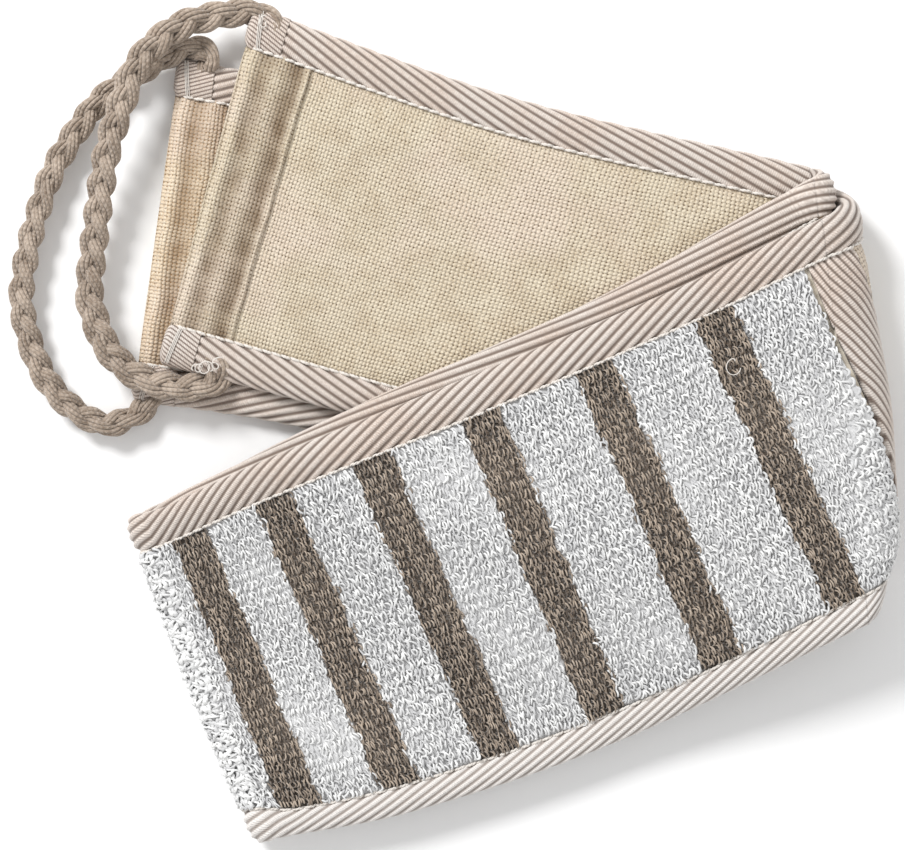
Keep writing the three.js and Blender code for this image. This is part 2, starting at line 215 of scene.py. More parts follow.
def strap_points(chain, across, height):
    chain, across, height = np.broadcast_arrays(*(np.asarray(a, float) for a in (chain, across, height)))
    outer = half_points(OUTER, chain, across, height)
    inner = half_points(INNER, chain, across, height)
    return np.where((chain >= 0)[..., None], outer, inner)


# ---------------- meshes
def add_attribute(mesh, name, values):
    layer = mesh.attributes.new(name, "FLOAT_VECTOR", "POINT")
    layer.data.foreach_set("vector", np.asarray(values, np.float32).ravel())


def mesh_object(name, points, faces, material, attributes=None):
    """faces is a list of index arrays, each of shape (count, corners)."""
    mesh = bpy.data.meshes.new(name)
    points = np.asarray(points, float).reshape(-1, 3) * MM
    loops = np.concatenate([f.ravel() for f in faces]).astype(np.int32)
    sizes = np.concatenate([np.full(len(f), f.shape[1]) for f in faces]).astype(np.int32)
    starts = np.concatenate([[0], np.cumsum(sizes)[:-1]]).astype(np.int32)
    mesh.vertices.add(len(points))
    mesh.vertices.foreach_set("co", points.astype(np.float32).ravel())
    mesh.loops.add(len(loops))
    mesh.loops.foreach_set("vertex_index", loops)
    mesh.polygons.add(len(sizes))
    mesh.polygons.foreach_set("loop_start", starts)
    mesh.update(calc_edges=True)
    mesh.polygons.foreach_set("use_smooth", np.full(len(sizes), True))
    for key, values in (attributes or {}).items():
        add_attribute(mesh, key, values)
    mesh.materials.append(material)
    obj = bpy.data.objects.new(name, mesh)
    bpy.context.scene.collection.objects.link(obj)
    return obj


def ring_faces(rows, columns):
    """Quads round a closed ring of columns, repeated along rows, with one polygon at each end."""
    i, j = np.meshgrid(np.arange(rows - 1), np.arange(columns), indexing="ij")
    after = (j + 1) % columns
    near, far = i * columns, (i + 1) * columns
    quads = np.stack([near + j, near + after, far + after, far + j], -1)
    first = np.arange(columns)[::-1][None]
    last = (np.arange(columns) + (rows - 1) * columns)[None]
    return [quads.reshape(-1, 4), first, last]


def outward(points, faces):
    """Turns every face round if the closed mesh is inside out."""
    p = points.reshape(-1, 3)
    volume = 0.0
    for group in faces:
        a = p[group[:, 0]]
        for k in range(1, group.shape[1] - 1):
            volume += np.einsum("ij,ij->i", a, np.cross(p[group[:, k]], p[group[:, k + 1]])).sum()
    return faces if volume > 0 else [group[:, ::-1] for group in faces]


def strap_ring(name, chain, across, height, material, label):
    """A closed body from rings in strap coordinates, each array of shape (rows, columns)."""
    points = strap_points(chain, across, height)
    rows, columns = chain.shape
    faces = outward(points, ring_faces(rows, columns))
    return mesh_object(name, points, faces, material, {"strap": label})


def strap_places(piece):
    """The distances along and across the strap at each point of a sheet, from the label it carries."""
    values = np.zeros(len(piece.data.vertices) * 3)
    piece.data.attributes["strap"].data.foreach_get("vector", values)
    return values.reshape(-1, 3)[:, 0], values.reshape(-1, 3)[:, 1]


# ---------------- zones
def place(piece, zone, slot, *nodes):
    """Each piece rides on its body; a piece inside a fold stays where it was built."""
    if nodes:
        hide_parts(*nodes)
    if zone == "inner_fold":
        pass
    elif zone == "outer_fold":
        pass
    else:
        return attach(piece, zone)
    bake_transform(piece)
    return piece


def later(a, b, sign):
    return lambda across: sign * np.maximum(sign * a(across), sign * b(across))


def sooner(a, b, sign):
    return lambda across: sign * np.minimum(sign * a(across), sign * b(across))


def noise(x, y, scale, seed):
    """A smooth, repeatable wander between about -1 and 1."""
    rng = np.random.default_rng(seed)
    total = 0.0
    for _ in range(6):
        heading = rng.uniform(0, 2 * math.pi)
        phase = rng.uniform(0, 2 * math.pi)
        size = rng.uniform(0.6, 1.6)
        along = x * math.cos(heading) + y * math.sin(heading)
        total = total + np.sin(along * size * 2 * math.pi / scale + phase)
    return total / 3.5


# ---------------- node materials
class Net:
    """Writes a material's node tree as formulas."""

    def __init__(self, name):
        self.material = bpy.data.materials.new(name)
        self.material.use_nodes = True
        self.tree = self.material.node_tree
        self.tree.nodes.clear()
        self.output = self.tree.nodes.new("ShaderNodeOutputMaterial")

    def node(self, kind, inputs=None, **settings):
        made = self.tree.nodes.new(kind)
        for key, value in settings.items():
            setattr(made, key, value)
        for key, value in (inputs or {}).items():
            self.feed(made.inputs[key], value)
        return made

    def feed(self, socket, value):
        if isinstance(value, bpy.types.NodeSocket):
            self.tree.links.new(value, socket)
        else:
            socket.default_value = value

    def math(self, operation, a, b=0.0, c=0.0):
        return self.node("ShaderNodeMath", {0: a, 1: b, 2: c}, operation=operation).outputs[0]

    def add(self, a, b):
        return self.math("ADD", a, b)

    def mul(self, a, b):
        return self.math("MULTIPLY", a, b)

    def mad(self, a, b, c):
        return self.math("MULTIPLY_ADD", a, b, c)

    def sin(self, a):
        return self.math("SINE", a)

    def abs(self, a):
        return self.math("ABSOLUTE", a)

    def power(self, a, b):
        return self.math("POWER", a, b)

    def ramp(self, value, low, high, out_low=0.0, out_high=1.0):
        inputs = {0: value, 1: low, 2: high, 3: out_low, 4: out_high}
        return self.node("ShaderNodeMapRange", inputs, interpolation_type="SMOOTHSTEP").outputs[0]

    def mix(self, share, a, b):
        made = self.node("ShaderNodeMix", data_type="RGBA")
        self.feed(made.inputs[0], share)
        self.feed(made.inputs[6], a)
        self.feed(made.inputs[7], b)
        return made.outputs[2]

    def attribute(self, name):
        made = self.node("ShaderNodeAttribute", attribute_name=name)
        split = self.node("ShaderNodeSeparateXYZ", {0: made.outputs["Vector"]})
        return made.outputs["Vector"], split.outputs[0], split.outputs[1], split.outputs[2]

    def position(self):
        """The point in space in millimetres, from the rest shape's own coordinates."""
        where = self.node("ShaderNodeTexCoord").outputs["Object"]
        inputs = {0: where, 1: (1 / MM, 1 / MM, 1 / MM)}
        return self.node("ShaderNodeVectorMath", inputs, operation="MULTIPLY").outputs[0]

    def noise(self, vector, scale, detail=2.0, rough=0.5):
        inputs = {"Vector": vector, "Scale": scale, "Detail": detail, "Roughness": rough}
        return self.node("ShaderNodeTexNoise", inputs).outputs["Fac"]

    def occlusion(self, distance):
        return self.node("ShaderNodeAmbientOcclusion", {"Distance": distance * MM}, samples=6).outputs["AO"]

    def finish(self, color, rough=0.9, height=None, bump=0.2, sheen=0.3):
        shader = self.node("ShaderNodeBsdfPrincipled")
        self.feed(shader.inputs["Base Color"], color)
        self.feed(shader.inputs["Roughness"], rough)
        shader.inputs["Sheen Weight"].default_value = sheen
        shader.inputs["Sheen Roughness"].default_value = 0.5
        shader.inputs["Specular IOR Level"].default_value = 0.25
        if height is not None:
            inputs = {"Height": height, "Distance": bump * MM, "Strength": 1.0}
            self.feed(shader.inputs["Normal"], self.node("ShaderNodeBump", inputs).outputs[0])
        self.tree.links.new(shader.outputs[0], self.output.inputs["Surface"])
        return self.material


def rgb(red, green, blue):
    """A display colour from 0 to 255 as the linear colour that a shader needs."""
    return tuple((c / 255) ** 2.2 for c in (red, green, blue)) + (1.0,)


WEAVE = 1.15


def linen_material(name, light, deep, hole_shade):
    n = Net(name)
    place_on_strap, x, y, layers_and_valley_shade = n.attribute("strap")
    u = n.mul(x, 1 / WEAVE)
    v = n.mul(y, 1 / WEAVE)
    warp = n.abs(n.sin(n.mul(u, math.pi)))
    weft = n.abs(n.sin(n.mul(v, math.pi)))
    patchy = n.noise(place_on_strap, 0.12, 3.0, 0.6)
    streak = n.noise(n.node("ShaderNodeVectorMath", {0: place_on_strap, 1: (0.05, 1.6, 1)},
                            operation="MULTIPLY").outputs[0], 1.0, 2.0)
    fibre = n.noise(place_on_strap, 2.4, 3.0, 0.65)
    # a gap shows where two neighbouring yarns part in both directions; it is painted dark brown, as painted
    # shade down inside the gap
    open_ness = n.mul(n.ramp(warp, 0.3, 0.88, 1, 0), n.ramp(weft, 0.3, 0.88, 1, 0))
    gappy = n.noise(place_on_strap, 0.8, 2.0)
    open_ness = n.mul(open_ness, n.ramp(gappy, 0.35, 0.6, 0.2, 1.0))
    tone = n.mix(n.ramp(patchy, 0.35, 0.65), light, deep)
    tone = n.mix(n.mul(n.ramp(n.noise(n.position(), 0.03, 3.0), 0.45, 0.7), 0.55), tone, rgb(226, 204, 190))
    tone = n.mix(n.mul(n.ramp(streak, 0.4, 0.7), 0.35), tone, deep)
    tone = n.mix(n.ramp(fibre, 0.35, 0.7, 0.0, 0.6), tone, rgb(252, 242, 224))
    # the hem's darkening: partly the folded layers of cloth, partly painted shade in the hem's valleys; more
    # gaps show there too
    tone = n.mix(n.mul(layers_and_valley_shade, 0.72), tone, rgb(140, 115, 90))
    open_ness = n.math("MINIMUM", n.mad(layers_and_valley_shade, 0.5, open_ness), n.mad(layers_and_valley_shade, 0.6, n.mul(open_ness, 1.4)))
    color = n.mix(open_ness, tone, hole_shade)
    height = n.add(n.mul(warp, weft), n.mul(fibre, 0.5))
    return n.finish(color, 0.95, height, 0.35)


def tape_material(name, crest, valley):
    """Ribbed twill: the rib attribute holds the rib count, the distance along a rib and a painted highlight
    share, which paints the tape lighter where strong light falls on it.
    """
    n = Net(name)
    _, rib, along, painted_highlight = n.attribute("rib")
    crestness = n.power(n.abs(n.sin(n.mul(rib, math.pi))), 1.7)
    yarn = n.sin(n.mul(n.add(along, n.mul(rib, 0.4)), 2 * math.pi / 0.62))
    patchy = n.noise(n.position(), 0.05, 3.0)
    fibre = n.noise(n.position(), 1.6, 3.0, 0.7)
    # painted shade: the rib valleys are painted darker than the crests, for the shade between the ribs
    shade = n.ramp(crestness, 0.0, 0.75)
    crest = n.mix(n.ramp(patchy, 0.35, 0.65), crest, rgb(208, 190, 177))
    # painted highlight: crests and valleys are painted lighter where strong light falls on the tape
    crest = n.mix(painted_highlight, crest, rgb(238, 235, 232))
    valley = n.mix(painted_highlight, valley, rgb(170, 160, 153))
    crest = n.mix(n.ramp(fibre, 0.35, 0.7, 0.0, 0.45), crest, rgb(250, 243, 236))
    color = n.mix(shade, valley, crest)
    color = n.mix(n.ramp(yarn, 0.2, 1.0, 0.0, 0.22), color, valley)
    height = n.add(n.mul(yarn, 0.25), fibre)
    return n.finish(color, 0.85, height, 0.22)


def terry_material():
    """Loop yarn: the tint attribute holds the stripe share, the loop's tone with a painted highlight on
    taller loops, and its height.
    """
    n = Net("terry_yarn")
    _, stripe, own, tip = n.attribute("tint")
    fibre = n.noise(n.position(), 2.2, 3.0, 0.7)
    white = n.mix(own, rgb(196, 196, 197), rgb(240, 240, 239))
    taupe = n.mix(own, rgb(82, 67, 53), rgb(178, 161, 143))
    # painted shade: each loop is painted darker towards its root, grey on white and near black on taupe, for
    # the shade down among the loops
    white = n.mix(n.ramp(tip, 0.0, 0.6, 0.2, 0.0), white, rgb(196, 196, 198))
    taupe = n.mix(n.ramp(tip, 0.0, 0.8, 0.9, 0.0), taupe, rgb(44, 34, 25))
    color = n.mix(stripe, white, taupe)
    color = n.mix(n.ramp(fibre, 0.4, 0.75, 0.0, 0.16), color, rgb(255, 255, 252))
    return n.finish(color, 0.7, fibre, 0.12, sheen=0.35)


def plain_cloth_material(name, color, deep):
    n = Net(name)
    where = n.position()
    fibre = n.noise(where, 1.8, 3.0, 0.7)
    return n.finish(n.mix(fibre, deep, color), 0.9, fibre, 0.2)


def thread_material():
    n = Net("white_thread")
    where = n.position()
    fibre = n.noise(where, 2.5, 2.0)
    color = n.mix(fibre, rgb(204, 196, 187), rgb(240, 235, 229))
    return n.finish(color, 0.6, fibre, 0.08, sheen=0.2)


def rope_material():
    n = Net("rope_yarn")
    _, along, around, own = n.attribute("yarn")
    patchy = n.noise(n.position(), 0.12, 3.0)
    fibre = n.noise(n.position(), 1.8, 3.0, 0.7)
    twist = n.sin(n.add(n.mul(along, 2 * math.pi / 1.3), n.mul(around, 2 * math.pi)))
    color = n.mix(n.ramp(patchy, 0.3, 0.7), rgb(124, 107, 92), rgb(172, 155, 139))
    color = n.mix(n.mul(own, 0.35), color, rgb(192, 176, 161))
    color = n.mix(n.ramp(twist, 0.1, 1.0, 0.0, 0.3), color, rgb(120, 102, 86))
    color = n.mix(n.ramp(fibre, 0.4, 0.7, 0.0, 0.3), color, rgb(232, 221, 208))
    # painted shade: the rope is darkened in its crevices, from the ambient occlusion
    color = n.mix(n.ramp(n.occlusion(1.8), 0.15, 0.75, 0.75, 0.0), color, rgb(70, 54, 42))
    return n.finish(color, 0.85, n.add(n.mul(twist, 0.4), fibre), 0.2)


# each linen's third colour is painted shade, for the dark inside the weave's gaps
LINEN = linen_material("linen_weave", rgb(211, 197, 171), rgb(195, 177, 148), rgb(98, 77, 54))
LINEN_WARM = linen_material("linen_weave_warm", rgb(226, 206, 178), rgb(210, 184, 150), rgb(138, 108, 76))
# the tape's second colour is painted shade, for its rib valleys
TAPE = tape_material("twill_tape", rgb(214, 203, 194), rgb(128, 113, 103))
TERRY = terry_material()
FOAM = plain_cloth_material("padding", rgb(236, 228, 212), rgb(214, 204, 186))
THREAD = thread_material()
ROPE = rope_material()


# ---------------- sheets
YARN_HEIGHT = 0.11
WEAVE_GAP_DEPTH = 0.16
PUFF_REACH = 3.0
PUFF_WANDER = 0.3


def weave_relief(chain, y):
    over = np.sin(math.pi * chain / WEAVE) * np.sin(math.pi * y / WEAVE)
    gap = np.abs(np.cos(math.pi * chain / WEAVE) * np.cos(math.pi * y / WEAVE))
    return YARN_HEIGHT * over - WEAVE_GAP_DEPTH * gap**3


def wandering(chain, y):
    """The weave's own coordinates, which drift a little, so that no yarn is quite straight."""
    return chain + 0.3 * noise(chain, y, 19, 31), y + 0.3 * noise(chain, y, 23, 37)


def sheet(name, start, end, edges, side, material, steps, relief=None, top=2.6, edge_top=1.3, under=0.7,
          layers_and_valley_shade=None):
    """A thick cloth between two chain limits and two places across, stitched down along both edges."""
    along_step, across_step = steps
    v0, v1 = edges
    columns = max(4, int((v1 - v0) / 100 * WIDTH / across_step))
    v = np.linspace(v0, v1, columns)
    rows = max(3, int(np.max(np.abs(end(v) - start(v))) / along_step) + 1)
    t = np.linspace(0, 1, rows)[:, None]
    upper_chain = start(v) + (end(v) - start(v)) * t
    back = np.linspace(v1, v0, max(4, columns // 6))
    lower_chain = start(back) + (end(back) - start(back)) * t
    chain = np.concatenate([upper_chain, lower_chain], 1)
    upper_across = np.broadcast_to(v, upper_chain.shape)
    lower_across = np.broadcast_to(back, lower_chain.shape)
    across = np.concatenate([upper_across, lower_across], 1)
    y = across * WIDTH / 100
    inset = np.minimum(across - EDGE, 100 - EDGE - across) * WIDTH / 100
    puff = edge_top + (top - edge_top) * (1 - np.exp(-np.maximum(inset, 0) / PUFF_REACH))
    puff = puff + PUFF_WANDER * noise(chain, y, 46, 5) * smooth(inset / 8)
    woven_x, woven_y = wandering(chain, y)
    if relief is not None:
        puff = puff + relief(woven_x, woven_y)
    height = np.where(np.arange(chain.shape[1]) < columns, puff, under) * side
    hem_layers_and_shade = np.zeros_like(y) if layers_and_valley_shade is None else layers_and_valley_shade(chain, y)
    label = np.stack([woven_x, woven_y, hem_layers_and_shade], -1)
    return strap_ring(name, chain, across, height, material, label)


FIELD = (EDGE - 0.8, 100 - EDGE + 0.8)


def covered(start, end):
    """The stretch across the strap over which a piece has some length, for a piece that ends in a point."""
    v = np.linspace(*FIELD, 400)
    long = v[np.abs(end(v) - start(v)) > 0.4]
    return long[0], long[-1]


HEM_PLACES = (0, 2.2, 6.0, 11.0, 17.3, 20.2, HEM)
HEM_HEIGHTS = (-1.3, 0.55, -0.35, 0.75, -0.5, 0.75, 0.1)
HEM_SHADES = (0.1, 0.0, 0.75, 0.25, 1.0, 0.1, 0.0)


def stepped(x, places, values):
    """Eased steps from each value to the next."""
    places, values = np.array(places), np.array(values)
    i = np.clip(np.searchsorted(places, x) - 1, 0, len(places) - 2)
    share = smooth((x - places[i]) / (places[i + 1] - places[i]))
    return values[i] * (1 - share) + values[i + 1] * share


def from_end(half, chain, y):
    """The distance in from the strap's end, with the wander that the hem's folds share."""
    return half.length + MIDDLE_ARC - np.abs(chain) + 0.5 * noise(chain * 0.1, y, 30, 41)


def hem_relief(half):
    """A rolled outer edge, then a valley, a ridge, the stitched valley and the folded edge of the hem."""

    def relief(chain, y):
        return weave_relief(chain, y) + stepped(from_end(half, chain, y), HEM_PLACES, HEM_HEIGHTS)

    return relief


# the hem's darkening: partly its folded layers of cloth, partly painted shade in its valleys
def hem_shade(half):
    def darkness(chain, y):
        shade = stepped(from_end(half, chain, y), HEM_PLACES, HEM_SHADES)
        return shade * (0.8 + 0.2 * noise(chain, y, 9, 43))

    return darkness


# ---------------- terry loops
STRIPE_PITCH = 27.6
STRIPE_SPREAD = 1.1
FIRST_STRIPE = 10.5 + MIDDLE_ARC
STRIPES = [FIRST_STRIPE + STRIPE_PITCH * k + STRIPE_SPREAD * max(0, k * (k - 1)) for k in range(6)]
STRIPES += [FIRST_STRIPE + 2 - STRIPE_PITCH * k for k in range(1, 6)]
STRIPE_HALF = 5.7


def stripe_share(chain, y):
    """1 inside a brown stripe and 0 between stripes, with a wandering, fuzzy edge."""
    share = np.zeros_like(chain)
    wander = 0.5 * noise(chain * 0.1, y, 21, 11)
    for centre in STRIPES:
        share = np.maximum(share, (np.abs(chain - centre + wander) < STRIPE_HALF).astype(float))
    return share


ROW_PITCH = 2.8
LOOP_SEGMENTS = 5
LOOP_SIDES = 5
LOOP_SPANS = (1.5, 2.3)
LOOP_RISES = (0.55, 1.0)
LOOP_RADII = (0.21, 0.27)
WHITE_FULLER = 0.05
BASE_TOP = 2.0
# the ground cloth between the loops is painted this dark, as painted shade
SHADED_GROUND_TONE = 0.25


def loop_mesh(name, chain, across, rng, height_scale):
    """Terry loops standing on the strap, each a short arched tube of yarn."""
    count = len(chain)
    stripe = stripe_share(chain + rng.normal(0, 0.35, count), across * WIDTH / 100)
    turn = rng.normal(0, 0.2 + 0.2 * (1 - stripe), count)
    span = rng.uniform(*LOOP_SPANS, count)
    y = across * WIDTH / 100
    crest = np.cos(2 * math.pi * y / ROW_PITCH + 0.8 * noise(chain, y, 24, 62))
    clump = noise(chain, y, 7, 61)
    rise = rng.uniform(*LOOP_RISES, count) * height_scale * (1 + 0.35 * crest + 0.3 * clump)
    # partly a random tone, partly painted highlight: loops are lighter where the rows and clumps make them
    # stand taller
    tone_and_highlight = np.clip(0.5 + 0.28 * crest + 0.35 * clump + rng.uniform(-0.3, 0.3, count), 0, 1)
    lean = rng.normal(0.4, 0.35, count)
    radius = rng.uniform(*LOOP_RADII, count) + WHITE_FULLER * (1 - stripe)
    t = np.linspace(0, math.pi, LOOP_SEGMENTS + 1)
    dy = -np.cos(t)[None] * span[:, None] / 2
    dx = np.sin(t)[None] * lean[:, None]
    up = np.sin(t)[None] * rise[:, None]
    cos, sin = np.cos(turn)[:, None], np.sin(turn)[:, None]
    path_x = chain[:, None] + dx * cos - dy * sin
    path_y = dx * sin + dy * cos
    # the tube's ring: one side vector along the strap, the other pointing out of the arch
    ring = np.arange(LOOP_SIDES) * 2 * math.pi / LOOP_SIDES + math.pi / 4
    side = np.cos(ring)[None, None] * radius[:, None, None]
    out = np.sin(ring)[None, None] * radius[:, None, None]
    arch_y, arch_up = -np.cos(t)[None, :, None], np.sin(t)[None, :, None]
    x = path_x[..., None] + side * cos[..., None] - out * arch_y * sin[..., None]
    shift = path_y[..., None] + side * sin[..., None] + out * arch_y * cos[..., None]
    h = BASE_TOP + up[..., None] + out * arch_up
    points = strap_points(x, across[:, None, None] + shift * 100 / WIDTH, h)
    tint = np.stack([
        np.broadcast_to(stripe[:, None, None], x.shape),
        np.broadcast_to(tone_and_highlight[:, None, None], x.shape),
        np.broadcast_to(np.sin(t)[None, :, None], x.shape),
    ], -1)
    per = (LOOP_SEGMENTS + 1) * LOOP_SIDES
    jump = (np.arange(count) * per)[:, None, None]
    groups = ring_faces(LOOP_SEGMENTS + 1, LOOP_SIDES)
    faces = [(group[None] + jump).reshape(-1, group.shape[1]) for group in groups]
    return mesh_object(name, points, faces, TERRY, {"tint": tint})


# loops stand this far apart along and across the strap, sparser on the half that faces down
LOOP_ALONG = 0.85
LOOP_ACROSS = 1.4
HIDDEN_THINNING = 0.55
SEEN_PAST_FOLD = 12
PILE_LENGTH = 36.0
FOLD_REACH = 5.5


def loop_places(low, high, rng, inside):
    """Rows of loops along the strap, every other row half a step on, with some wander."""
    rows = np.arange(EDGE + 1.0, 100 - EDGE - 0.8, LOOP_ACROSS * 100 / WIDTH)
    places = []
    for k, row in enumerate(rows):
        chain = np.arange(low, high, LOOP_ALONG) + (k % 2) * LOOP_ALONG / 2
        chain = chain + rng.normal(0, 0.16, len(chain))
        across = row + rng.normal(0, 0.28, len(chain)) + 0.5 * noise(chain, np.full(len(chain), row), 30, 3)
        places.append(np.stack([chain, across], -1))
    places = np.concatenate(places)
    return places[inside(places[:, 0], places[:, 1])]


def tint_cloth(cloth):
    """Gives the ground cloth the same stripes as the loops that stand on it, painted darker as painted shade
    under the loops.
    """
    chain, y = strap_places(cloth)
    ground = np.full(len(chain), SHADED_GROUND_TONE)
    add_attribute(cloth.data, "tint", np.stack([stripe_share(chain, y), ground, ground], -1))


def build_terry():
    rng = np.random.default_rng(7)
    inner_seam = INNER.at(INNER.seam)
    end = sooner(OUTER.at(OUTER.seam), OUTER.fold_start, 1)
    cloth = sheet("terry_cloth", inner_seam, end, FIELD, 1, TERRY, (0.8, 0.9), None, BASE_TOP, 1.2)
    tint_cloth(cloth)
    place(cloth, "strap_middle", "terry", "terry_panel")
    fold_end = sooner(later(OUTER.at(OUTER.seam), OUTER.fold_start, 1), OUTER.fold_end, 1)
    fold_cloth = sheet("terry_cloth_in_fold", OUTER.fold_start, fold_end, covered(OUTER.fold_start, fold_end),
                       1, TERRY, (0.8, 0.9), None, BASE_TOP, 1.2)
    tint_cloth(fold_cloth)
    place(fold_cloth, "outer_fold", "terry")
    low, high = -(INNER.seam + MIDDLE_ARC), OUTER.seam + MIDDLE_ARC
    flat = loop_places(low + 0.6, high - 0.6, rng, lambda c, v: c < OUTER.fold_start(v) - 0.2)
    kept = (flat[:, 0] > -SEEN_PAST_FOLD) | (rng.uniform(0, 1, len(flat)) < HIDDEN_THINNING)
    flat = flat[kept]
    round_edge = loop_places(-FOLD_REACH, FOLD_REACH, rng, lambda c, v: np.abs(c) < FOLD_REACH)
    flat = np.concatenate([flat, round_edge])
    count = math.ceil((flat[:, 0].max() - low) / PILE_LENGTH)
    for k in range(count):
        patch = flat[(flat[:, 0] - low) // PILE_LENGTH == k]
        loops = loop_mesh(f"terry_pile_{k + 1}", patch[:, 0], patch[:, 1], rng, 1.0)
        place(loops, "strap_middle", "terry")
    bent = loop_places(170, high - 0.6, rng, lambda c, v: c >= OUTER.fold_start(v) - 0.2)
    fold_loops = loop_mesh("terry_pile_in_fold", bent[:, 0], bent[:, 1], rng, 0.8)
    place(fold_loops, "outer_fold", "terry")


build_terry()


# ---------------- linen panels, cross tapes and padding
def build_sheets():
    fine, coarse = (0.42, 0.42), (0.8, 0.8)
    inner_tape_end = INNER.at(INNER.seam + CROSS_TAPE)
    outer_tape_end = OUTER.at(OUTER.seam + CROSS_TAPE)
    upper_hem, upper_tuck = INNER.at(INNER.length - HEM), INNER.at(INNER.length - HEM + 2)
    lower_hem, lower_tuck = OUTER.at(OUTER.length - HEM), OUTER.at(OUTER.length - HEM + 2)
    parts = [
        ("upper_end_linen", INNER.fold_end, upper_tuck, 1, LINEN, fine, 2.6,
         "strap_ends", "upper_end_linen_panel"),
        ("upper_end_back", INNER.fold_end, INNER.at(INNER.length), -1, LINEN_WARM, coarse, 2.4,
         "strap_ends", "upper_end_back_panel"),
        ("inner_fold_linen", INNER.fold_start, INNER.fold_end, 1, LINEN, coarse, 2.4,
         "inner_fold", "inner_fold_face"),
        ("inner_fold_back_linen", INNER.fold_start, INNER.fold_end, -1, LINEN_WARM, coarse, 2.4,
         "inner_fold", "inner_fold_back"),
        ("inner_linen", inner_tape_end, INNER.fold_start, 1, LINEN, coarse, 2.4,
         "strap_middle", "inner_linen_strip"),
        ("middle_back", INNER.fold_start, OUTER.fold_start, -1, LINEN_WARM, coarse, 2.4,
         "strap_middle", "middle_back_panel"),
        ("outer_fold_back_linen", OUTER.fold_start, OUTER.fold_end, -1, LINEN_WARM, coarse, 2.4,
         "outer_fold", "outer_fold_back"),
        ("outer_fold_linen", later(outer_tape_end, OUTER.fold_start, 1), OUTER.fold_end, 1,
         LINEN, coarse, 2.5, "outer_fold", "outer_fold_face"),
        ("lower_end_linen", OUTER.fold_end, OUTER.at(OUTER.length), 1, LINEN, coarse, 2.4,
         "strap_ends", "lower_end_linen_panel"),
        ("lower_end_back", OUTER.fold_end, lower_tuck, -1, LINEN_WARM, coarse, 2.4,
         "strap_ends", "lower_end_back_panel"),
    ]
    for name, start, end, side, material, steps, top, zone, node in parts:
        piece = sheet(name, start, end, covered(start, end), side, material, steps, weave_relief, top)
        place(piece, zone, "linen", node)
    hems = [
        ("upper_end_hem_fold", INNER, upper_hem, 1, LINEN, "upper_end_hem"),
        ("lower_end_hem_fold", OUTER, lower_hem, -1, LINEN_WARM, "lower_end_hem"),
    ]
    for name, half, start, side, material, node in hems:
        piece = sheet(name, start, half.at(half.length + 0.6), FIELD, side, material, (0.34, 0.42),
                      hem_relief(half), 3.1, 1.5, 0.7, hem_shade(half))
        place(piece, "strap_ends", "linen", node)
    cores = [
        ("middle_padding", INNER.fold_start, OUTER.fold_start, "strap_middle", "middle_foam_core"),
        ("upper_end_padding", INNER.fold_end, INNER.at(INNER.length - HEM),
         "strap_ends", "upper_end_foam_core"),
        ("lower_end_padding", OUTER.fold_end, OUTER.at(OUTER.length - HEM),
         "strap_ends", "lower_end_foam_core"),
        ("inner_fold_padding", INNER.fold_start, INNER.fold_end, "inner_fold", "inner_fold_core"),
        ("outer_fold_padding", OUTER.fold_start, OUTER.fold_end, "outer_fold", "outer_fold_core"),
    ]
    for name, start, end, zone, node in cores:
        piece = sheet(name, start, end, (2.5, 97.5), 1, FOAM, (2.0, 3.0), None, 0.5, 0.4, -0.5)
        place(piece, zone, "foam", node)


build_sheets()


# ---------------- twill tape
RIB_PITCH = 2.4
RIB_HEIGHT = 0.65
RIB_MIDDLE = 0.35
CROSS_RIB_PITCH = 1.7
CROSS_RIB_HEIGHT = 0.42
CROSS_RIB_LEAN = 0.3
ROLL = 2.95
ROLL_STEPS = 66
CORE_STEPS = 7
SLANT_PLACES = (-400, -215, -205, -20, -2, 8, 60, 260, 420)
SLANTS = (19, 19, 4, 4, -30, -36, -26, -24, -24)
SEAM_HEIGHT = 1.25
CUFF = 10.5
CUFF_RIBS = 2.2
CUFF_LIFT = 0.45
# the last share of a cuff's length rounds off to its end
CUFF_ROUNDING = 0.82
CUFF_ROUNDED = 0.18


def rib_slant(chain):
    """The ribs' angle to the tape, in radians, which changes where the tape was stretched round a fold."""
    return np.radians(np.interp(chain, SLANT_PLACES, SLANTS))


CHAIN_TABLE = np.arange(-400, 431, 1.0)
RIB_TABLE = np.cumsum(np.sin(rib_slant(CHAIN_TABLE)))


def rib_count(chain, girth):
    slant = rib_slant(chain)
    return (np.interp(chain, CHAIN_TABLE, RIB_TABLE) - girth * np.cos(slant)) / RIB_PITCH


def rib_along(chain, girth):
    slant = rib_slant(chain)
    return chain * np.cos(slant) + girth * np.sin(slant)


def rib_crest(count):
    return np.sin(math.pi * count) ** 2


def roll_profile(edge):
    """The tape's section, from its back seam round the edge to its face seam."""
    turn = np.linspace(-1, 1, ROLL_STEPS)
    swing = math.pi * np.abs(turn)
    inset = EDGE * (1 - np.cos(swing)) / 2
    height = ROLL * np.sin(swing) ** 0.85
    seam = np.sqrt(height**2 + SEAM_HEIGHT**2 * smooth(2 * np.abs(turn) - 1))
    height = np.where(swing > math.pi / 2, seam, height)
    height = np.sign(turn) * height
    run, climb = np.gradient(inset), np.gradient(height)
    length = np.hypot(run, climb)
    girth = np.cumsum(length)
    girth = girth - np.interp(0, turn, girth)
    way = 1 if edge == "top" else -1
    return inset, height, -climb / length, run / length, girth * way


